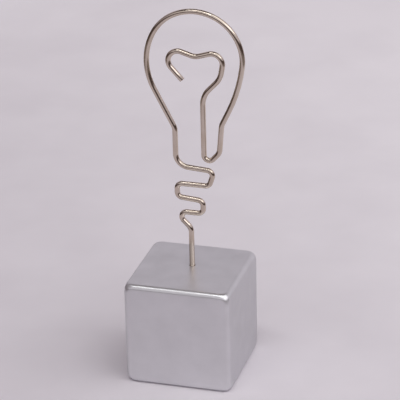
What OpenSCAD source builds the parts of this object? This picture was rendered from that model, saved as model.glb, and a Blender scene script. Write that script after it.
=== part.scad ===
// Memo holder: one bright wire, bent into the outline of a light bulb, stands in a silver cube.
// The wire's inner end is the bulb's filament. A card slides down behind it and in front of
// the outline, and the wire's own spring holds it.
// Millimetres, +Z up, front towards -Y. The origin is the middle of the block's underside.
// Every radius, reach and height of the wire is taken to its centreline.

/* [Block] */
// Width of the block, from side to side
block_w = 40; // [32:1:60]
// Depth of the block, from front to back
block_d = 40; // [32:1:60]
// Height of the block
block_h = 40; // [28:1:60]
// Radius of the block's edges
edge_r = 1.6; // [0.6:0.1:4]
// Radius of the ball shape that sanding gives each of the block's corners
corner_r = 5.5; // [5:0.25:10]
// Distance from each corner that the sanding reaches along the edges
corner_run = 3.25; // [2:0.25:4]

/* [Hole and glue] */
// Distance of the hole behind the middle of the block
hole_back = 2; // [-8:0.5:8]
// Depth of the hole's straight wall
hole_depth = 16; // [8:0.5:22]
// Full angle of the cone that the drill leaves at the bottom
drill_angle = 118; // [90:1:140]
// Gap between the wire and the hole's wall, which the glue fills
glue_gap = 0.1; // [0.05:0.05:0.3]
// Depth of the glue's face below the top of the block
glue_down = 0.3; // [0.1:0.1:1]
// Glue left between the end of the wire and the drill's cone
end_gap = 1; // [0.5:0.25:3]

/* [Wire] */
// Thickness of the wire
wire_d = 2; // [1.4:0.1:2.4]
// Height of the bulb's crown above the block
crown_h = 100; // [94:1:130]
// Radius of the tight bends
bend_r = 2; // [1.6:0.1:2.2]

/* [Screw thread] */
// Height of the lowest rung above the block
rung_h = 21.5; // [15:0.5:23]
// Height of the lowest rung above the bend that ends the straight stem
stem_drop = 8; // [7.5:0.25:11]
// Radius of the bend that ends the straight stem
stem_bend_r = 4; // [2.5:0.25:4.25]
// Reach of the lowest rung's left end, from the stem
rung_reach = 3.5; // [2.75:0.25:5]
// Reach of the first turn, which is on the right, from the stem
turn_1_reach = 4.75; // [3.5:0.25:8]
// Height of the first turn, from rung to rung
turn_1_h = 5.25; // [4.75:0.25:7]
// Reach of the second turn, which is on the left
turn_2_reach = 5; // [3.5:0.25:8]
// Height of the second turn
turn_2_h = 5.5; // [4.75:0.25:7]
// Reach of the third turn, which is on the right
turn_3_reach = 8.5; // [6:0.25:10]
// Height of the third turn
turn_3_h = 6.25; // [4.75:0.25:8]
// Distance that the third turn's lower bend stays inside its upper one
turn_3_lean = 0.75; // [0:0.25:2]
// Rise of each rung that runs to the left
rung_rise = 0.5; // [0:0.1:1]
// Radius of the bend from the top rung up into the neck
thread_bend_r = 5; // [3:0.25:6]

/* [Bulb outline] */
// Distance of the bulb's axis to the right of the stem
bulb_x = 3; // [1:0.25:4.5]
// Radius of the globe
globe_r = 17.5; // [15:0.25:18.5]
// Distance of the neck's left side from the bulb's axis
neck_left = 8.25; // [7:0.25:10]
// Distance of the neck's right side from the bulb's axis, at the top of the neck
neck_right = 9.25; // [8:0.25:10]
// Radius of the bends that open the neck into the bulb
neck_bend_r = 5.5; // [3:0.25:7]
// Angle between the bulb's straight left side and the vertical
left_slope = 27; // [24:0.5:32]
// Angle between the bulb's straight right side and the vertical
right_slope = 26; // [24:0.5:32]
// Radius of the shoulder between the left side and the globe
left_shoulder_r = 23; // [20:0.5:30]
// Radius of the shoulder between the right side and the globe
right_shoulder_r = 58; // [40:1:70]
// Angle of the left shoulder's join, up round the globe from its middle
left_join_angle = 30; // [10:1:40]
// Angle of the right shoulder's join, up round the globe from its middle
right_join_angle = -8; // [-14:1:0]

/* [Filament] */
// Distance that the neck's right side leans in on the way down to its foot
neck_lean = 0.75; // [0:0.25:1.5]
// Radius of the bend at the foot of the neck's right side
foot_bend_r = 4; // [2.5:0.25:4.5]
// Height of that bend above the lowest point of the wire beside it
foot_rise = 5; // [4.5:0.25:7]
// Height of that lowest point above the top rung
foot_gap = 4; // [3.5:0.25:5]
// Distance of the filament's upright to the right of the bulb's axis
upright_x = 2.5; // [1:0.25:3.5]
// Radius of the bend at the top of the upright
upright_bend_r = 9; // [6:0.25:10]
// Angle between the straight slant above that bend and the vertical
slant_angle = 43.7; // [38:0.1:48]
// Radius of the elbow, which is the bend between the slant and the filament's right side
elbow_r = 8.25; // [6.5:0.25:9]
// Angle between the filament's straight right side and the vertical
side_angle = 9.7; // [6:0.1:14]
// Length of that right side, from the elbow to the right hump
side_run = 2.4; // [1:0.1:4]
// Distance of each hump's middle from the bulb's axis
hump_x = 6.25; // [5.75:0.25:7.5]
// Radius of the humps
hump_r = 3.85; // [3:0.05:4.5]
// Height of the humps' tops above the globe's middle
hump_top = 2; // [-2:0.25:5]
// Radius of the dip between the humps
dip_r = 5.5; // [3:0.25:8]
// Depth of the dip below the humps' tops
dip_depth = 1.5; // [0.75:0.25:1.75]
// Angle between the straight tail below the left hump and the vertical
tail_angle = 42; // [30:1:55]
// Length of the tail, which ends in the wire's tip
tail_run = 6.2; // [4:0.1:8]

/* [Hidden] */
$fn = 64;
// Two shapes overlap by this much where one is cut or passes through the other's face
overlap = 0.5;
// A straight shorter than this is a join of two arcs
no_run = 0.01;
// Each piece of the wire runs this far into the next
join = 0.00002;
// Bends are set to this step, in degrees
angle_step = 0.001;
// The wire is drawn this small and then enlarged, so that the faces where its pieces meet,
// which are a rounding error apart, count as one
drawn = 0.001;

// A corner's ball passes through each edge where the sanding ends. That sets how far its middle
// is in from the three faces.
ridge_in = edge_r * (1 - sqrt(1 / 2));
ball_reach = 4 * ridge_in + 2 * corner_run;
ball_rest = 2 * ridge_in ^ 2 + corner_run ^ 2 - corner_r ^ 2;
ball_in = (ball_reach + sqrt(ball_reach ^ 2 - 12 * ball_rest)) / 6;

hole_r = wire_d / 2 + glue_gap;
hole_cone = hole_r / tan(drill_angle / 2);
globe_h = crown_h - globe_r;
neck_left_x = bulb_x - neck_left;
neck_right_x = bulb_x + neck_right;

// The rungs' heights above the block, each at its right end, from the second one up
rung_2_h = rung_h + turn_1_h;
rung_3_h = rung_2_h + rung_rise + turn_2_h;
rung_4_h = rung_3_h + turn_3_h;
foot_h = rung_4_h + foot_gap;

// The wire is drawn as it is formed, round a row of pins on a flat board, with x along the
// board and y up it. A bend is [x, y, radius, way]: the pin's middle, its centreline radius,
// and the way that the wire turns round it, 1 to the left and -1 to the right.
LEFT = 1;
RIGHT = -1;

// A turn of the thread is two tight bends, one on the rung below and one on the rung above
function turn(side, reach, low, high, lean = 0) = [
    [side * (reach - lean - bend_r), low + bend_r, bend_r, side],
    [side * (reach - bend_r), high - bend_r, bend_r, side]
];

// A shoulder is a larger arc that runs into the globe where the join angle says, so its middle
// lies on the globe's own radius there
function shoulder(side, radius, join_angle) = [
    bulb_x + side * cos(join_angle) * (globe_r - radius),
    globe_h + sin(join_angle) * (globe_r - radius),
    radius,
    RIGHT
];

// A bend from an upright line to a line that slopes away from it and touches the bend above
function bend_off(upright, side, radius, way, slope, above) =
    let (
        x = upright + side * radius,
        across = side * (above.x - x) * cos(slope) + above[2] + radius
    ) [x, above.y - across / sin(slope), radius, way];

left_shoulder = shoulder(-1, left_shoulder_r, left_join_angle);
right_shoulder = shoulder(1, right_shoulder_r, right_join_angle);

thread = concat(
    [[-stem_bend_r, rung_h - stem_drop, stem_bend_r, LEFT]],
    [[bend_r - rung_reach, rung_h - bend_r, bend_r, RIGHT]],
    turn(1, turn_1_reach, rung_h, rung_2_h),
    turn(-1, turn_2_reach, rung_2_h + rung_rise, rung_3_h),
    turn(1, turn_3_reach, rung_3_h, rung_4_h, turn_3_lean),
    [[neck_left_x + thread_bend_r, rung_4_h + rung_rise + thread_bend_r, thread_bend_r, RIGHT]]
);

outline = [
    bend_off(neck_left_x, -1, neck_bend_r, LEFT, left_slope, left_shoulder),
    left_shoulder,
    [bulb_x, globe_h, globe_r, RIGHT],
    right_shoulder,
    bend_off(neck_right_x, 1, neck_bend_r, LEFT, right_slope, right_shoulder)
];

hump_h = globe_h + hump_top - hump_r;
right_hump = [bulb_x + hump_x, hump_h, hump_r, LEFT];
left_hump = [bulb_x - hump_x, hump_h, hump_r, LEFT];

// The elbow is a wider bend than the hump, and both touch the filament's right side
elbow = [
    right_hump.x - side_run * sin(side_angle) - (elbow_r - hump_r) * cos(side_angle),
    right_hump.y - side_run * cos(side_angle) + (elbow_r - hump_r) * sin(side_angle),
    elbow_r,
    LEFT
];

filament = [
    [neck_right_x - neck_lean - foot_bend_r, foot_h + foot_rise, foot_bend_r, RIGHT],
    [bulb_x + upright_x + bend_r, foot_h + bend_r, bend_r, RIGHT],
    bend_off(bulb_x + upright_x, 1, upright_bend_r, RIGHT, slant_angle, elbow),
    elbow,
    right_hump,
    [bulb_x, globe_h + hump_top - dip_depth + dip_r, dip_r, RIGHT],
    left_hump
];

buried_end = [0, end_gap - hole_depth, 0, LEFT];
tip = [
    left_hump.x - hump_r * cos(tail_angle) + tail_run * sin(tail_angle),
    left_hump.y - hump_r * sin(tail_angle) - tail_run * cos(tail_angle),
    0,
    LEFT
];
bends = concat([buried_end], thread, outline, filament, [tip]);

// The straight run from bend a to bend b touches both pins: how far its line is set over, how
// long it is, and its heading
function set_over(a, b) = b[3] * b[2] - a[3] * a[2];
function run_length(a, b) = sqrt(max(0, (b.x - a.x) ^ 2 + (b.y - a.y) ^ 2 - set_over(a, b) ^ 2));
function heading(a, b) = atan2(b.y - a.y, b.x - a.x) - atan2(set_over(a, b), run_length(a, b));

// The angle that the wire turns through at b, always in the bend's own way
function turned(a, b, c) = ((b[3] * (heading(b, c) - heading(a, b))) % 360 + 360) % 360;

// Run i goes from bend i to bend i + 1. The wire's pieces are drawn small, end to end.
function run_of(i) = drawn * run_length(bends[i], bends[i + 1]);
function radius_of(i) = drawn * bends[i][2];
function way_of(i) = bends[i][3];
function angle_of(i) =
    round(turned(bends[i - 1], bends[i], bends[i + 1]) / angle_step) * angle_step;
function join_angle_of(i) = drawn * join / radius_of(i) * 180 / PI;

// Moves to the start of run i, by going along every run and round every bend before it
module start_of_run(i) {
    if (i == 0)
        children();
    else
        start_of_run(i - 1)
            translate([run_of(i - 1), way_of(i) * radius_of(i)])
                rotate(way_of(i) * angle_of(i))
                    translate([0, -way_of(i) * radius_of(i)])
                        children();
}

// A straight run along +X
module run(i) {
    if (run_of(i) > drawn * no_run)
        rotate([0, 90, 0])
            cylinder(d = drawn * wire_d, h = run_of(i) + drawn * join);
}

// The bend that follows run i - 1
module bend(i) {
    translate([run_of(i - 1), way_of(i) * radius_of(i)])
        rotate(-90 * way_of(i))
            rotate_extrude(angle = way_of(i) * (angle_of(i) + join_angle_of(i)))
                translate([radius_of(i), 0])
                    circle(d = drawn * wire_d);
}

// A block with every edge rounded: three slabs, twelve edges and eight corners
module rounded_block(w, d, h, r) {
    x = w / 2 - r;
    y = d / 2 - r;
    translate([-x, -y, 0])
        cube([2 * x, 2 * y, h]);
    translate([-w / 2, -y, r])
        cube([w, 2 * y, h - 2 * r]);
    translate([-x, -d / 2, r])
        cube([2 * x, d, h - 2 * r]);
    for (i = [-1, 1], j = [-1, 1]) {
        translate([i * x, j * y, r])
            cylinder(r = r, h = h - 2 * r);
        for (z = [r, h - r]) {
            translate([i * x, j * y, z])
                sphere(r = r);
        }
    }
    for (i = [-1, 1], z = [r, h - r]) {
        translate([i * x, y, z])
            rotate([90, 0, 0])
                cylinder(r = r, h = 2 * y);
        translate([-x, i * y, z])
            rotate([0, 90, 0])
                cylinder(r = r, h = 2 * x);
    }
}

// What sanding takes off the block's corners: at each one, all that is outside a ball
module sanded_off(w, d, h) {
    for (i = [0, 1], j = [0, 1], k = [0, 1])
        translate([-w / 2, -d / 2, 0])
            translate([i * w, j * d, k * h])
                mirror([i, 0, 0])
                    mirror([0, j, 0])
                        mirror([0, 0, k])
                            difference() {
                                translate([-overlap, -overlap, -overlap])
                                    cube(ball_in + overlap);
                                translate([ball_in, ball_in, ball_in])
                                    sphere(r = corner_r);
                            }
}

// The hole's shape, from a given depth below the top of the block up to another height over it
module drilled(top) {
    translate([0, hole_back, block_h - hole_depth]) {
        cylinder(r = hole_r, h = hole_depth + top);
        translate([0, 0, -hole_cone])
            cylinder(r1 = 0, r2 = hole_r, h = hole_cone);
    }
}

// The forming board stands upright over the hole, with its zero on the block's top face
module on_board() {
    translate([0, hole_back, block_h])
        rotate([90, 0, 0])
            children();
}

// Lacquered wooden block, drilled for the wire
module base_block() {
    color([0.66, 0.64, 0.66])
        difference() {
            rounded_block(block_w, block_d, block_h, edge_r);
            sanded_off(block_w, block_d, block_h);
            drilled(overlap);
        }
}

// Nickel-plated steel wire, from its buried end to the tip of the filament
module wire_clip() {
    color([0.78, 0.74, 0.69])
        on_board()
            translate([buried_end.x, buried_end.y])
                rotate(heading(bends[0], bends[1]))
                    scale(1 / drawn)
                        for (i = [0 : len(bends) - 2])
                            start_of_run(i) {
                                run(i);
                                if (i < len(bends) - 2)
                                    bend(i + 1);
                            }
}

// Cured glue: the sleeve round the buried wire and the plug under its end
module glue_fill() {
    color([0.85, 0.78, 0.55])
        difference() {
            drilled(-glue_down);
            on_board()
                translate([buried_end.x, buried_end.y])
                    rotate([-90, 0, 0])
                        cylinder(d = wire_d, h = hole_depth);
        }
}

base_block();
wire_clip();
glue_fill();
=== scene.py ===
# %% [markdown]
# # A memo holder: a wire light bulb on a silver cube
#
# The holder has three parts. A cube of wood is sprayed with silver lacquer. One length of
# bright wire is bent into the outline of a light bulb, and its inner end is the filament. A
# little glue holds the wire in a drilled hole.
#
# The cube was milled, drilled and sprayed, and the wire was bent round pins, so each piece is
# made here in the same order: the block is bevelled and drilled, and the wire is pushed out
# straight and swung round one pin after another.

# %% Load the frame
import math

import bmesh
import bpy
from mathutils import Matrix, Vector


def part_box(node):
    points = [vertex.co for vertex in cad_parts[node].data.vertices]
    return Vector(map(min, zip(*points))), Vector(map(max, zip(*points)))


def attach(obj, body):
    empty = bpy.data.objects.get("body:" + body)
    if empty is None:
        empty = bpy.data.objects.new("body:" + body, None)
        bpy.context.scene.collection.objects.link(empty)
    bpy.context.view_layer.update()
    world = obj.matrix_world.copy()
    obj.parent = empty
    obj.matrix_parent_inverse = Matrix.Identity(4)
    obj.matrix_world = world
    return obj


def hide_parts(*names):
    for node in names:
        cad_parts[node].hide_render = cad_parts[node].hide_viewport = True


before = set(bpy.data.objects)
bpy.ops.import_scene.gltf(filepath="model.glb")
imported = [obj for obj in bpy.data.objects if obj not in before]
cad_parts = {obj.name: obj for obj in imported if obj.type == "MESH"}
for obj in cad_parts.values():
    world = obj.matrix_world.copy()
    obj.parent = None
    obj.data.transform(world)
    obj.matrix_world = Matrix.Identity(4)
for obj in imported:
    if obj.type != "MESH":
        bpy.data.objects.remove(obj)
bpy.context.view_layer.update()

MM = 0.001  # Blender works in metres, and the parts were drawn in millimetres

# %% [markdown]
# ## Sizes from the frame
#
# The frame gives each solid's box, so the block, the hole and the wire's thickness are read
# from it. Nothing here is fitted by eye.

# %% Sizes from the frame
block_low, block_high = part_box("base_block")
wire_low, wire_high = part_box("wire_clip")
glue_low, glue_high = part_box("glue_fill")

block_size = block_high - block_low
wire_r = (wire_high.y - wire_low.y) / 2
hole_r = (glue_high.x - glue_low.x) / 2
hole_axis = Vector((0, (wire_low.y + wire_high.y) / 2, 0))
print("wire thickness in mm:", round(2 * wire_r / MM, 3))
print("hole radius in mm:", round(hole_r / MM, 3))

# %% [markdown]
# ## The camera
#
# The photograph was taken from a little above and from the right, with the lens zoomed in, so
# that upright edges hardly lean. The camera is turned by its azimuth, elevation and roll, then
# moved back along its own axis. Its picture is square.

# %% The camera
CAMERA_AZIMUTH = math.radians(16.89)
CAMERA_ELEVATION = math.radians(24.69)
CAMERA_ROLL = math.radians(-1.40)
CAMERA_DISTANCE = 914.8 * MM
CAMERA_ASIDE = 2.95 * MM  # how far the picture's middle is to the right of the block's
CAMERA_UP = 42.99 * MM  # and above it
FOCAL_PIXELS = 2452.5  # focal length in pixels of a picture 400 pixels wide
PICTURE_PIXELS = 400

camera_data = bpy.data.cameras.new("camera")
camera_data.sensor_width = 36
camera_data.lens = camera_data.sensor_width * FOCAL_PIXELS / PICTURE_PIXELS
camera_data.clip_start = 0.05
camera_data.clip_end = 50
camera = bpy.data.objects.new("camera", camera_data)
bpy.context.scene.collection.objects.link(camera)
bpy.context.scene.camera = camera

block_middle = (block_low + block_high) / 2
camera.matrix_world = (
    Matrix.Translation(block_middle)
    @ Matrix.Rotation(CAMERA_AZIMUTH, 4, "Z")
    @ Matrix.Rotation(math.radians(90) - CAMERA_ELEVATION, 4, "X")
    @ Matrix.Rotation(CAMERA_ROLL, 4, "Z")
    @ Matrix.Translation((CAMERA_ASIDE, CAMERA_UP, CAMERA_DISTANCE))
)
print("lens in mm:", round(camera_data.lens, 1))

# %% [markdown]
# ## Small helpers
#
# Colours are written as sRGB hex values, the way a paint shop or a picture editor shows them,
# and one function turns them into the linear light that shaders use. Another adds one node,
# with its settings and what feeds it. A third makes an object from a bmesh.

# %% Small helpers
def linear(hex_colour):
    """An sRGB hex value as the linear colour of a shader's socket."""
    shares = [int(hex_colour[i:i + 2], 16) / 255 for i in (1, 3, 5)]
    light = [c / 12.92 if c <= 0.04045 else ((c + 0.055) / 1.055) ** 2.4 for c in shares]
    return (*light, 1.0)


def add_node(tree, kind, feeds=None, **settings):
    """One shader node. feeds gives each named or numbered socket a value or another's output."""
    node = tree.nodes.new("ShaderNode" + kind)
    for name, value in settings.items():
        setattr(node, name, value)
    for socket, value in (feeds or {}).items():
        if isinstance(value, bpy.types.NodeSocket):
            tree.links.new(value, node.inputs[socket])
        else:
            node.inputs[socket].default_value = value
    return node


SHARE, FROM, TO, MIXED = 0, 6, 7, 2  # the Mix node's sockets for colours


def new_material(name):
    """An empty material's tree, and its output node's surface socket."""
    material = bpy.data.materials.new(name)
    material.use_nodes = True
    material.node_tree.nodes.clear()
    output = add_node(material.node_tree, "OutputMaterial")
    return material, material.node_tree, output.inputs["Surface"]


def new_piece(name, shape, material):
    """An object from a bmesh, shaded smooth, with its place in its mesh."""
    mesh = bpy.data.meshes.new(name)
    bmesh.ops.recalc_face_normals(shape, faces=shape.faces[:])
    shape.to_mesh(mesh)
    shape.free()
    mesh.shade_smooth()
    mesh.materials.append(material)
    piece = bpy.data.objects.new(name, mesh)
    bpy.context.scene.collection.objects.link(piece)
    print(name, len(mesh.polygons), "faces")
    return piece

# %% [markdown]
# ## Silver lacquer on wood
#
# The block is a satin silver: aluminium flake in clear lacquer, sprayed on sanded wood. Flake
# paint is neither metal nor plastic. Its flakes lie nearly flat and mirror the room, but each
# is tilted a little, which blurs the picture they give. So the shader is nearly all metallic
# and fairly rough. Seen at a slant, the flakes hide one another, so the face that turns away
# is darker. A thin clear coat over them adds a soft gloss.
#
# Three things keep it from looking like plain plastic. The spray lays down a little more flake
# in one place than in another, in clouds of about 8 mm. The sanded wood below is not truly
# flat. And a few grains of dust dried in the lacquer.

# %% Silver lacquer
SILVER = "#E1E1E4"
SILVER_THIN = "#DCDCDF"
FLOP = "#DEDEDE"  # at a slant the lacquer mirrors less than a plain metal, which painters call flop
CLOUD_MM = 8
CLOUD_SPAN = (0.3, 0.7)  # the noise values at which the spray is thinnest and thickest
FLAKE_MM = 0.25  # real flakes are about 0.03 mm, too fine to show
FLAKE_HEIGHT_MM = 0.003
SPARKLE = 0.06  # a flake shows this share more or less of the brighter silver
ROUGH_THIN = 0.42  # roughness where the spray is thin
ROUGH_THICK = 0.34  # and where it is thick
SANDING_MM = 14
SANDING_HEIGHT_MM = 0.12
DUST_GRAINS = [  # each grain's place on the block and its radius, in mm
    (Vector((-2.6, -20.0, 31.2)), 0.5),
    (Vector((9.8, -20.0, 30.6)), 0.35),
    (Vector((10.9, -20.0, 22.5)), 0.4),
    (Vector((-11.5, -4.0, 40.0)), 0.35),
    (Vector((13.1, 3.4, 40.0)), 0.4),
    (Vector((20.0, 7.0, 12.0)), 0.4),
    (Vector((-20.0, 3.0, 26.0)), 0.4),
]
DUST_STEEPNESS = 0.18  # a grain's height is this share of its radius

lacquer, tree, surface = new_material("silver_flake_lacquer")
place = add_node(tree, "TexCoord").outputs["Object"]
in_mm = add_node(tree, "VectorMath", {0: place, 1: (1 / MM,) * 3}, operation="MULTIPLY").outputs[0]

clouds = add_node(tree, "TexNoise", {"Vector": in_mm, "Scale": 1 / CLOUD_MM, "Detail": 3.0})
flakes = add_node(tree, "TexVoronoi", {"Vector": in_mm, "Scale": 1 / FLAKE_MM})
flake_grey = add_node(tree, "SeparateColor", {"Color": flakes.outputs["Color"]}).outputs["Red"]
thickness = add_node(tree, "MapRange", {
    "Value": clouds.outputs["Fac"], "From Min": CLOUD_SPAN[0], "From Max": CLOUD_SPAN[1],
}).outputs["Result"]
sparkle = add_node(tree, "MapRange", {
    "Value": flake_grey, "To Min": -SPARKLE, "To Max": SPARKLE,
}).outputs["Result"]
cover = add_node(tree, "Math", {0: thickness, 1: sparkle}, operation="ADD").outputs[0]
silver = add_node(tree, "Mix", {
    SHARE: cover, FROM: linear(SILVER_THIN), TO: linear(SILVER),
}, data_type="RGBA").outputs[MIXED]
roughness = add_node(tree, "MapRange", {
    "Value": cover, "To Min": ROUGH_THIN, "To Max": ROUGH_THICK,
}).outputs["Result"]

sanding = add_node(tree, "TexNoise", {"Vector": in_mm, "Scale": 1 / SANDING_MM, "Detail": 2.0})
waves = add_node(tree, "Math", {
    0: sanding.outputs["Fac"], 1: SANDING_HEIGHT_MM,
}, operation="MULTIPLY").outputs[0]
grain = add_node(tree, "Math", {0: flake_grey, 1: FLAKE_HEIGHT_MM}, operation="MULTIPLY").outputs[0]
height = add_node(tree, "Math", {0: waves, 1: grain}, operation="ADD").outputs[0]
for spot, radius in DUST_GRAINS:
    away = add_node(tree, "VectorMath", {0: in_mm, 1: spot}, operation="DISTANCE").outputs["Value"]
    dome = add_node(tree, "MapRange", {
        "Value": away, "From Max": radius, "To Min": radius * DUST_STEEPNESS, "To Max": 0,
    }, interpolation_type="SMOOTHSTEP").outputs["Result"]
    height = add_node(tree, "Math", {0: height, 1: dome}, operation="ADD").outputs[0]
relief = add_node(tree, "Bump", {"Height": height, "Distance": MM, "Strength": 1.0})

shader = add_node(tree, "BsdfPrincipled", {
    "Base Color": silver,
    "Metallic": 0.92,
    "Roughness": roughness,
    "Normal": relief.outputs["Normal"],
    "Specular Tint": linear(FLOP),
    "Coat Weight": 0.15,
    "Coat Roughness": 0.2,
})
tree.links.new(shader.outputs["BSDF"], surface)

# %% [markdown]
# ## The block
#
# The block is a cube whose edges were rolled over by a router, and whose corners were then
# sanded rounder still. A bevel makes the edges. The sanding is done as a ball shape: a few cuts
# give each corner enough points, and every point outside the ball is pressed onto it. Sandpaper
# leaves no ridge where it stops, so the ball's rim is eased a little.
#
# A bevel alone would shade the flat faces as if they were bulged, because each corner's normal
# is an average of the faces that meet there. A narrow inset round each flat face keeps that
# average inside a strip, as the lacquer's own soft step does.

# %% The block
EDGE_R = 1.6 * MM
EDGE_STEPS = 8
CORNER_R = 5.5 * MM  # the ball's radius
CORNER_RUN = 3.25 * MM  # how far along the edges the sanding reaches
CORNER_CUTS = 12
CUTS_REACH = CORNER_RUN + MM  # the cuts go a little past the sanding
ON_CUT = MM / 10000  # a point this near to a cut is on it
SANDING_EASE = 0.7 * MM  # the ball's rim is eased over this much
STRIP = 0.35 * MM
HOLE_LIP = 0.2 * MM  # the lacquer rolls over the hole's edge by this much
HOLE_SIDES = 48
DRILL_ANGLE = math.radians(118)

hole_bottom = glue_low.z
drill_point = hole_r / math.tan(DRILL_ANGLE / 2)

block = bmesh.new()
bmesh.ops.create_cube(block, size=1)
bmesh.ops.scale(block, vec=block_size, verts=block.verts)
bmesh.ops.translate(block, vec=block_middle, verts=block.verts)
bmesh.ops.bevel(
    block,
    geom=block.edges[:],
    offset=EDGE_R,
    offset_type="OFFSET",
    affect="EDGES",
    segments=EDGE_STEPS,
    profile=0.5,
    material=-1,
)
broad = [face for face in block.faces if face.calc_area() > (block_size.x / 2) ** 2]
bmesh.ops.inset_individual(block, faces=broad, thickness=STRIP)
print("the block's flat faces:", len(broad))

# %% Sanding the corners
for axis in range(3):
    across = Vector([float(axis == other) for other in range(3)])
    for step in range(1, CORNER_CUTS + 1):
        depth = CUTS_REACH * step / CORNER_CUTS
        for cut in (block_low + across * depth, block_high - across * depth):
            bmesh.ops.bisect_plane(
                block,
                geom=block.verts[:] + block.edges[:] + block.faces[:],
                plane_co=cut,
                plane_no=across,
                dist=ON_CUT,
            )

# The ball's middle is ball_in from three faces, and the ball passes through each edge's ridge
# where the sanding ends. So 3 ball_in ** 2 - reach * ball_in + rest is 0.
ridge_in = EDGE_R * (1 - math.sqrt(1 / 2))
reach = 4 * ridge_in + 2 * CORNER_RUN
rest = 2 * ridge_in ** 2 + CORNER_RUN ** 2 - CORNER_R ** 2
ball_in = (reach + math.sqrt(reach ** 2 - 12 * rest)) / 6


def sanded(distance):
    """A point's distance from the ball's middle once sanded: at most the ball's radius."""
    near = max(0, 1 - abs(distance - CORNER_R) / SANDING_EASE)
    return min(distance, CORNER_R) - near ** 2 * SANDING_EASE / 4


ball_out = block_size / 2 - Vector((ball_in, ball_in, ball_in))
pressed = 0
for point in block.verts:
    out = point.co - block_middle
    ball = Vector([math.copysign(ball_out[axis], out[axis]) for axis in range(3)])
    away = out - ball
    outward = all(away[axis] * ball[axis] > 0 for axis in range(3))
    if outward and sanded(away.length) < away.length:
        point.co = block_middle + ball + away.normalized() * sanded(away.length)
        pressed += 1
print("points pressed onto the corners' balls:", pressed)

# %% [markdown]
# ## The hole
#
# The hole is drilled down to a cone, and it goes in before spraying, so its edge is rolled
# over by lacquer. A profile of a few points is spun round the drill's axis, and the flat face
# round it is filled again.

# %% The hole
LIP_STEPS = 4
WELD = 0.001 * MM  # points nearer than this are merged


def spin_profile(shape, profile, middle):
    """Spins a profile right round the drill's axis, and merges the points that fall together."""
    points = [shape.verts.new(point) for point in profile]
    lines = [shape.edges.new(pair) for pair in zip(points, points[1:])]
    bmesh.ops.spin(
        shape,
        geom=points + lines,
        cent=middle,
        axis=(0, 0, 1),
        angle=math.radians(360),
        steps=HOLE_SIDES,
        use_merge=True,
    )
    bmesh.ops.remove_doubles(shape, verts=shape.verts, dist=WELD)


mouth = Vector((0, hole_axis.y, block_high.z))
profile = [mouth + Vector((hole_r + HOLE_LIP + STRIP, 0, 0))]
for step in range(LIP_STEPS + 1):
    turn = math.radians(90 * step / LIP_STEPS)
    out = hole_r + HOLE_LIP * (1 - math.sin(turn))
    profile.append(mouth + Vector((out, 0, HOLE_LIP * (math.cos(turn) - 1))))
profile.append(Vector((hole_r, hole_axis.y, hole_bottom + drill_point)))
profile.append(Vector((0, hole_axis.y, hole_bottom)))

top_face = max(block.faces, key=lambda face: face.calc_center_median().z * face.calc_area())
rim = list(top_face.edges)
bmesh.ops.delete(block, geom=[top_face], context="FACES_ONLY")
spin_profile(block, profile, mouth)
ring = [edge for edge in block.edges if edge.is_boundary and edge not in rim]
bmesh.ops.triangle_fill(block, edges=rim + ring, use_beauty=True, use_dissolve=False)
print("open edges left:", sum(edge.is_boundary for edge in block.edges))

block_piece = new_piece("block", block, lacquer)
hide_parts("base_block")
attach(block_piece, "root")

# %% [markdown]
# ## Nickel plate on drawn steel wire
#
# The wire is steel, drawn through a die and plated with nickel. Nickel is a metal with a warm
# cast, so its colour goes to the base colour of a fully metallic shader. Drawing leaves fine
# lines along the wire. They spread a reflection across them more than along them, so the
# pattern is stretched along the wire, on a coordinate that the wire carries with it.

# %% Nickel plate
NICKEL = "#D4C8BC"
NICKEL_WORN = "#CBBDAE"
DRAW_LINE_MM = 0.3  # real draw lines are about 0.02 mm apart, too fine to show
DRAW_STRETCH = 60
DRAW_DEPTH = 0.005 * MM
HANDLING_MM = 6
WEAR_SPAN = (0.35, 0.7)  # the noise values at which the plating is new and fully worn
ROUGH_NEW = 0.08
ROUGH_WORN = 0.13

nickel, tree, surface = new_material("nickel_plate_on_drawn_wire")
along = add_node(tree, "Attribute", attribute_name="along_wire").outputs["Fac"]
place = add_node(tree, "TexCoord").outputs["Object"]
in_mm = add_node(tree, "VectorMath", {0: place, 1: (1 / MM,) * 3}, operation="MULTIPLY").outputs[0]
round_wire = add_node(tree, "Attribute", attribute_name="round_wire").outputs["Vector"]
spread = add_node(tree, "SeparateXYZ", {"Vector": round_wire})
lengthwise = add_node(tree, "Math", {0: along, 1: 1 / DRAW_STRETCH}, operation="MULTIPLY").outputs[0]
draw_place = add_node(tree, "CombineXYZ", {
    "X": spread.outputs["X"], "Y": spread.outputs["Y"], "Z": lengthwise,
}).outputs["Vector"]
draw_lines = add_node(tree, "TexNoise", {
    "Vector": draw_place, "Scale": 1 / DRAW_LINE_MM, "Detail": 2.0,
}).outputs["Fac"]
handled = add_node(tree, "TexNoise", {"Vector": in_mm, "Scale": 1 / HANDLING_MM, "Detail": 3.0})
wear = add_node(tree, "MapRange", {
    "Value": handled.outputs["Fac"], "From Min": WEAR_SPAN[0], "From Max": WEAR_SPAN[1],
}).outputs["Result"]
metal = add_node(tree, "Mix", {
    SHARE: wear, FROM: linear(NICKEL), TO: linear(NICKEL_WORN),
}, data_type="RGBA").outputs[MIXED]
roughness = add_node(tree, "MapRange", {
    "Value": wear, "To Min": ROUGH_NEW, "To Max": ROUGH_WORN,
}).outputs["Result"]
relief = add_node(tree, "Bump", {"Height": draw_lines, "Distance": DRAW_DEPTH, "Strength": 1.0})
shader = add_node(tree, "BsdfPrincipled", {
    "Base Color": metal,
    "Metallic": 1.0,
    "Roughness": roughness,
    "Normal": relief.outputs["Normal"],
})
tree.links.new(shader.outputs["BSDF"], surface)

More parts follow.
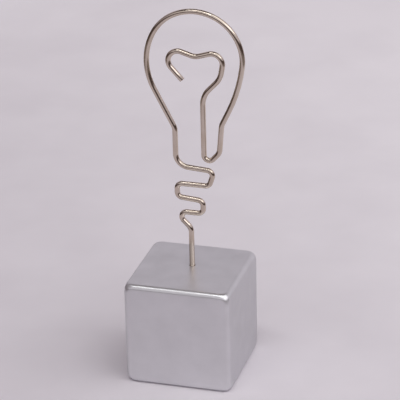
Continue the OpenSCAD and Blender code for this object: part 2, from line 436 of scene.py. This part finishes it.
# %% [markdown]
# ## The wire's pins
#
# A wire shape like this is formed round pins on a board. Each bend below is a pin: where its
# middle is on the board, the radius that the wire's middle keeps from it, and which way the
# wire turns. The wire runs straight from one pin to the next and touches both, so it is smooth
# everywhere, and how far it turns round each pin is worked out. The board's zero is the mouth
# of the hole, and its sizes are in mm.

# %% The wire's pins
LEFT, RIGHT = 1, -1
TIGHT = 2  # radius of the tight bends

BULB_X = 3  # the bulb stands a little to the right of the hole
CROWN = 100  # height of the wire's middle at the top of the bulb
GLOBE_R = 17.5
globe_h = CROWN - GLOBE_R


def shoulder(side, radius, join_degrees):
    """A wider arc on one side, -1 or 1, that runs into the globe at an angle.

    Its middle is on the globe's radius there, so the two touch smoothly.
    """
    out = GLOBE_R - radius
    join = math.radians(join_degrees)
    return (BULB_X + side * math.cos(join) * out, globe_h + math.sin(join) * out, radius, RIGHT)


def bend_off(upright, side, radius, way, slope_degrees, above):
    """A bend from an upright line to a line that slopes away and touches the bend above."""
    slope = math.radians(slope_degrees)
    x = upright + side * radius
    across = side * (above[0] - x) * math.cos(slope) + above[2] + radius
    return (x, above[1] - across / math.sin(slope), radius, way)


thread = [
    (-4, 13.5, 4, LEFT),
    (-1.5, 19.5, TIGHT, RIGHT),
    (2.75, 23.5, TIGHT, LEFT),
    (2.75, 24.75, TIGHT, LEFT),
    (-3, 29.25, TIGHT, RIGHT),
    (-3, 30.75, TIGHT, RIGHT),
    (5.75, 34.75, TIGHT, LEFT),
    (6.5, 37, TIGHT, LEFT),
    (-0.25, 44.5, 5, RIGHT),
]

left_shoulder = shoulder(-1, radius=23, join_degrees=30)
right_shoulder = shoulder(1, radius=58, join_degrees=-8)
outline = [
    bend_off(BULB_X - 8.25, -1, radius=5.5, way=LEFT, slope_degrees=27, above=left_shoulder),
    left_shoulder,
    (BULB_X, globe_h, GLOBE_R, RIGHT),
    right_shoulder,
    bend_off(BULB_X + 9.25, 1, radius=5.5, way=LEFT, slope_degrees=26, above=right_shoulder),
]

HUMP_R = 3.85
HUMP_ASIDE = 6.25  # the humps' pins are this far to the two sides of the bulb's middle,
HUMP_TOP = 2  # and the wire's middle rises this far above the globe's
ELBOW_R = 8.25
SIDE_RUN = 2.4  # from the right hump down to the elbow
side_lean = math.radians(9.7)
hump_h = globe_h + HUMP_TOP - HUMP_R
right_hump = (BULB_X + HUMP_ASIDE, hump_h, HUMP_R, LEFT)
left_hump = (BULB_X - HUMP_ASIDE, hump_h, HUMP_R, LEFT)
elbow = (
    right_hump[0] - SIDE_RUN * math.sin(side_lean) - (ELBOW_R - HUMP_R) * math.cos(side_lean),
    right_hump[1] - SIDE_RUN * math.cos(side_lean) + (ELBOW_R - HUMP_R) * math.sin(side_lean),
    ELBOW_R,
    LEFT,
)
filament = [
    (BULB_X + 4.5, 48, 4, RIGHT),
    (BULB_X + 4.5, 45, TIGHT, RIGHT),
    bend_off(BULB_X + 2.5, 1, radius=9, way=RIGHT, slope_degrees=43.7, above=elbow),
    elbow,
    right_hump,
    (BULB_X, globe_h + 6, 5.5, RIGHT),
    left_hump,
]

TAIL_RUN = 6.2  # from the left hump to the free tip
tail_lean = math.radians(42)
buried_end = (0, (wire_low.z - block_high.z) / MM, 0, LEFT)
tip = (
    left_hump[0] - HUMP_R * math.cos(tail_lean) + TAIL_RUN * math.sin(tail_lean),
    left_hump[1] - HUMP_R * math.sin(tail_lean) - TAIL_RUN * math.cos(tail_lean),
    0,
    LEFT,
)
pins = [buried_end, *thread, *outline, *filament, tip]
print("bends in the wire:", len(pins) - 2)

# %% [markdown]
# ## Forming the wire
#
# The wire is one ring of edges that is pushed and swung. A straight run extrudes the ring and
# moves it. A bend spins it round the pin, in steps of a few degrees. Each ring notes how far
# along the wire it is and where each of its points sits round the wire, for the plating's
# draw lines. At the end both cuts are closed, and their edges are broken a little, as the
# tumbling before plating does.

# %% Forming the wire
WIRE_SIDES = 32
BEND_STEP = math.radians(4)
RUN_STEP = 4  # mm
SHORTEST_RUN = 0.01  # mm, and below this two bends simply meet
CUT_EDGE = 0.12 * MM
CUT_STEPS = 2

stand_up = Matrix.Rotation(math.radians(90), 4, "X")
board = Matrix.Translation((0, hole_axis.y, block_high.z)) @ stand_up


def on_board(x, y):
    """A point of the forming board, in mm, in the frame."""
    return board @ Vector((x * MM, y * MM, 0))


def run_between(a, b):
    """Heading and length in mm of the straight run that touches pins a and b."""
    offset = b[3] * b[2] - a[3] * a[2]
    dx, dy = b[0] - a[0], b[1] - a[1]
    length = math.sqrt(max(0, dx * dx + dy * dy - offset * offset))
    return math.atan2(dy, dx) - math.atan2(offset, length), length


runs = [run_between(a, b) for a, b in zip(pins, pins[1:])]

wire = bmesh.new()
along_layer = wire.verts.layers.float.new("along_wire")
round_layer = wire.verts.layers.float_vector.new("round_wire")
start = board @ Matrix.Translation((0, buried_end[1] * MM, 0)) @ stand_up
ring_points = bmesh.ops.create_circle(
    wire, cap_ends=True, radius=wire_r, segments=WIRE_SIDES, matrix=start
)["verts"]
for index, point in enumerate(ring_points):
    turn = math.tau * index / WIRE_SIDES
    point[round_layer] = (wire_r / MM * math.cos(turn), wire_r / MM * math.sin(turn), 0)  # mm
ring = list(wire.edges)
gone = 0.0


def note_distance(parts, distance):
    """Writes how far along the wire a new ring is."""
    for part in parts:
        if isinstance(part, bmesh.types.BMVert):
            part[along_layer] = distance


for index, (heading, length) in enumerate(runs):
    ahead = board.to_3x3() @ Vector((math.cos(heading), math.sin(heading), 0))
    steps = max(1, round(length / RUN_STEP)) if length > SHORTEST_RUN else 0
    for _ in range(steps):
        pushed = bmesh.ops.extrude_edge_only(wire, edges=ring)["geom"]
        points = [part for part in pushed if isinstance(part, bmesh.types.BMVert)]
        ring = [part for part in pushed if isinstance(part, bmesh.types.BMEdge)
                and all(end in points for end in part.verts)]
        bmesh.ops.translate(wire, vec=ahead * (length / steps) * MM, verts=points)
        gone += length / steps
        note_distance(points, gone)
    if index == len(runs) - 1:
        break
    pin_x, pin_y, radius, way = pins[index + 1]
    turn = (way * (runs[index + 1][0] - heading)) % math.tau
    steps = max(1, math.ceil(turn / BEND_STEP))
    for _ in range(steps):
        swung = bmesh.ops.spin(
            wire,
            geom=ring,
            cent=on_board(pin_x, pin_y),
            axis=board.to_3x3() @ Vector((0, 0, 1)),
            angle=way * turn / steps,
            steps=1,
        )["geom_last"]
        ring = [part for part in swung if isinstance(part, bmesh.types.BMEdge)]
        gone += radius * turn / steps
        note_distance(swung, gone)
bmesh.ops.edgeloop_fill(wire, edges=ring)
print("length of the wire in mm:", round(gone, 1))

# Only the two cuts have more than four corners
ends = [edge for face in wire.faces if len(face.verts) > 4 for edge in face.edges]
bmesh.ops.bevel(
    wire,
    geom=ends,
    offset=CUT_EDGE,
    offset_type="OFFSET",
    affect="EDGES",
    segments=CUT_STEPS,
    profile=0.5,
    material=-1,
)
wire_piece = new_piece("wire", wire, nickel)
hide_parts("wire_clip")
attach(wire_piece, "root")

# %% [markdown]
# ## Cured glue
#
# The wire is set in the hole with a drop of glue, an epoxy that dries amber and glossy. It
# fills the hole round the wire and under its end. Only a thin ring of it shows, where it has
# crept up the wire and the wall by surface tension. So it is a profile with a sagging top,
# spun round the wire, and its cup holds the wire's end.

# %% Cured glue
EPOXY = "#A9824A"
RIPPLE_MM = 0.5
RIPPLE_DEPTH = 0.05 * MM
CREEP = 0.12 * MM
WET = 0.02 * MM  # the glue runs this far into what it wets, so that no gap shows

epoxy, tree, surface = new_material("cured_epoxy")
place = add_node(tree, "TexCoord").outputs["Object"]
in_mm = add_node(tree, "VectorMath", {0: place, 1: (1 / MM,) * 3}, operation="MULTIPLY").outputs[0]
ripples = add_node(tree, "TexNoise", {
    "Vector": in_mm, "Scale": 1 / RIPPLE_MM, "Detail": 2.0,
}).outputs["Fac"]
relief = add_node(tree, "Bump", {"Height": ripples, "Distance": RIPPLE_DEPTH, "Strength": 1.0})
shader = add_node(tree, "BsdfPrincipled", {
    "Base Color": linear(EPOXY),
    "Roughness": 0.15,
    "IOR": 1.55,
    "Subsurface Weight": 0.3,
    "Subsurface Scale": 0.3 * MM,
    "Normal": relief.outputs["Normal"],
})
tree.links.new(shader.outputs["BSDF"], surface)

glue = bmesh.new()
inner = wire_r - WET
outer = hole_r + WET
wire_end = wire_low.z + WET
profile = [
    Vector((0, 0, hole_bottom)),
    Vector((outer, 0, hole_bottom + drill_point)),
    Vector((outer, 0, glue_high.z + CREEP / 2)),
    Vector(((inner + outer) / 2, 0, glue_high.z)),
    Vector((inner, 0, glue_high.z + CREEP)),
    Vector((inner, 0, wire_end)),
    Vector((0, 0, wire_end)),
]
spin_profile(glue, [point + hole_axis for point in profile], hole_axis)
glue_piece = new_piece("glue", glue, epoxy)
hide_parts("glue_fill")
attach(glue_piece, "root")

# %% [markdown]
# ## The table
#
# The holder stands on a strip of pale paper, longer than it is wide. It is matt, and a faint
# mottle keeps it from looking empty. Its colour also holds painted light and shade: it is
# painted lighter towards the right and the back, and darker towards the left and the front.
# Well away from the holder it fades into the backdrop, as a paper sweep does, so that no edge
# of it shows from a low angle.
#
# How wide the strip is can be seen in the wire. An upright run is a round mirror, and its two
# edges show what lies far out on the left and the right: there the strip has ended, and the
# darker table top draws a thin dark line along each edge.

# %% The table
# The paper's two colours are painted light and painted shade: the lighter one at the right and back,
# the darker one at the left and front.
PAPER = "#FEFAFF"
PAPER_PAINTED_SHADE = "#E4DFE5"
PAPER_PAINTED_LIGHT_WAY = (1.0, 1.45, 0)  # painted light: the paper's colour is made lighter towards the right and the back,
PAPER_PAINTED_LIGHT_SPAN = (-0.12, 0.5)  # from the first to the second of these distances that way, in metres
MOTTLE = 40 * MM
MOTTLE_SHARE = 0.3  # the mottle moves the colour by this share of that way, up or down
PAPER_SIZE = 1.1
PAPER_FADE = (0.37, 0.54)  # the sheet ends softly between these distances in front and behind,
NARROWER = 1.85  # and this many times nearer on the left and the right
PAPER_BACK = 0.08  # the strip's middle is this far behind the holder's

paper, tree, surface = new_material("pale_paper")
place = add_node(tree, "TexCoord").outputs["Object"]
mottle = add_node(tree, "TexNoise", {
    "Vector": place, "Scale": 1 / MOTTLE, "Detail": 3.0,
}).outputs["Fac"]
# painted light and shade: how far a point lies towards the right and the back sets how much lighter
# its colour is painted
painted_light_way = add_node(tree, "VectorMath", {
    0: place, 1: PAPER_PAINTED_LIGHT_WAY,
}, operation="DOT_PRODUCT").outputs["Value"]
painted_light_and_mottle = add_node(tree, "MapRange", {
    "Value": painted_light_way, "From Min": PAPER_PAINTED_LIGHT_SPAN[0], "From Max": PAPER_PAINTED_LIGHT_SPAN[1],
}).outputs["Result"]
mottled = add_node(tree, "MapRange", {
    "Value": mottle, "To Min": -MOTTLE_SHARE, "To Max": MOTTLE_SHARE,
}).outputs["Result"]
painted_light_and_mottle = add_node(tree, "Math", {0: painted_light_and_mottle, 1: mottled}, operation="ADD").outputs[0]
# the paper's colour, mixed from the painted shade to the painted light, with the mottle added
paper_colour_with_painted_light = add_node(tree, "Mix", {
    SHARE: painted_light_and_mottle, FROM: linear(PAPER_PAINTED_SHADE), TO: linear(PAPER),
}, data_type="RGBA").outputs[MIXED]
shader = add_node(tree, "BsdfPrincipled", {
    "Base Color": paper_colour_with_painted_light,
    "Roughness": 0.9,
    "Specular IOR Level": 0.2,
})
in_shape = add_node(tree, "VectorMath", {
    0: place, 1: (NARROWER, 1, 1), 2: (0, -PAPER_BACK, 0),
}, operation="MULTIPLY_ADD").outputs[0]
from_middle = add_node(tree, "VectorMath", {0: in_shape}, operation="LENGTH").outputs["Value"]
faded = add_node(tree, "MapRange", {
    "Value": from_middle, "From Min": PAPER_FADE[0], "From Max": PAPER_FADE[1],
}, interpolation_type="SMOOTHSTEP").outputs["Result"]
backdrop = add_node(tree, "BsdfTransparent").outputs["BSDF"]
sweep = add_node(tree, "MixShader", {0: faded, 1: shader.outputs["BSDF"], 2: backdrop})
tree.links.new(sweep.outputs["Shader"], surface)

table = bmesh.new()
bmesh.ops.create_grid(table, x_segments=1, y_segments=1, size=PAPER_SIZE / 2)
table_piece = new_piece("table", table, paper)

# %% [markdown]
# ## The studio
#
# Two soft boxes light the holder. The main one stands on its right, and a narrow one hangs
# high at the front, a little to the left. The room round them is plain: a pale backdrop, a
# pale wall in front, a dim one on the left, a dark ceiling, dark furniture just above the
# table everywhere but behind, and the table top beyond the paper.
#
# Bright metal shows all of that. The dark lines in the wire are the ceiling, the furniture
# and the table top, and the bright line on the block's front edge is the narrow box. The
# camera itself sees only the pale wall.

# %% The studio
LAMP_DISTANCE = 2.0
LAMP_AIM = Vector((0, 0, 0.05))  # just above the block


def soft_box(name, azimuth, elevation, width, height, power):
    """A rectangular lamp that faces the holder. Azimuth 0 is in front of it and 90 on its right."""
    light = bpy.data.lights.new(name, "AREA")
    light.shape = "RECTANGLE"
    light.size, light.size_y = width, height
    light.energy = power
    lamp = bpy.data.objects.new(name, light)
    bpy.context.scene.collection.objects.link(lamp)
    lamp.matrix_world = (
        Matrix.Translation(LAMP_AIM)
        @ Matrix.Rotation(math.radians(azimuth), 4, "Z")
        @ Matrix.Rotation(math.radians(90 - elevation), 4, "X")
        @ Matrix.Translation((0, 0, LAMP_DISTANCE))
    )
    print(name, "at azimuth", azimuth, "and elevation", elevation)


soft_box("main_box", azimuth=70, elevation=54, width=1.9, height=1.9, power=16.4)
soft_box("left_box", azimuth=-20, elevation=69, width=1.4, height=0.28, power=7.4)

# %% The room
WALL = "#D3CCD3"
FRONT_WALL = "#E6E2E6"
LEFT_WALL = "#91888C"
CEILING = "#4A4040"
FURNITURE = "#4C403E"
TABLE_TOP = "#857B79"
# Each part's colour, the axis on which it lies, and how far along it the part starts and is
# full. A direction has length 1, so -1 and 1 are straight along the axis.
ROOM = [
    (FRONT_WALL, "Y", -0.1, -0.8),
    (LEFT_WALL, "X", -0.5, -0.85),
    (CEILING, "Z", 0.55, 0.82),
    (FURNITURE, "Z", 0.24, 0.1),
    (TABLE_TOP, "Z", -0.1, -0.25),
]
NOT_BEHIND = (FURNITURE, TABLE_TOP)
BACKDROP_EDGE = (0.75, 0.4)  # these two start and are full this far along Y

world = bpy.data.worlds.new("studio")
bpy.context.scene.world = world
world.use_nodes = True
tree = world.node_tree
tree.nodes.clear()
direction = add_node(tree, "TexCoord").outputs["Generated"]
towards = add_node(tree, "SeparateXYZ", {"Vector": direction})
off_backdrop = add_node(tree, "MapRange", {
    "Value": towards.outputs["Y"], "From Min": BACKDROP_EDGE[0], "From Max": BACKDROP_EDGE[1],
}, interpolation_type="SMOOTHSTEP").outputs["Result"]
room = linear(WALL)
for colour, axis, start, full in ROOM:
    share = add_node(tree, "MapRange", {
        "Value": towards.outputs[axis], "From Min": start, "From Max": full,
    }, interpolation_type="SMOOTHSTEP").outputs["Result"]
    if colour in NOT_BEHIND:
        share = add_node(tree, "Math", {0: share, 1: off_backdrop}, operation="MULTIPLY").outputs[0]
    room = add_node(tree, "Mix", {
        SHARE: share, FROM: room, TO: linear(colour),
    }, data_type="RGBA").outputs[MIXED]
seen = add_node(tree, "LightPath").outputs["Is Camera Ray"]
shown = add_node(tree, "Mix", {
    SHARE: seen, FROM: room, TO: linear(WALL),
}, data_type="RGBA").outputs[MIXED]
background = add_node(tree, "Background", {"Color": shown, "Strength": 1.0})
add_node(tree, "OutputWorld", {"Surface": background.outputs[0]})
print("parts of the room:", len(ROOM) + 1)

bpy.context.scene.view_settings.view_transform = "Standard"
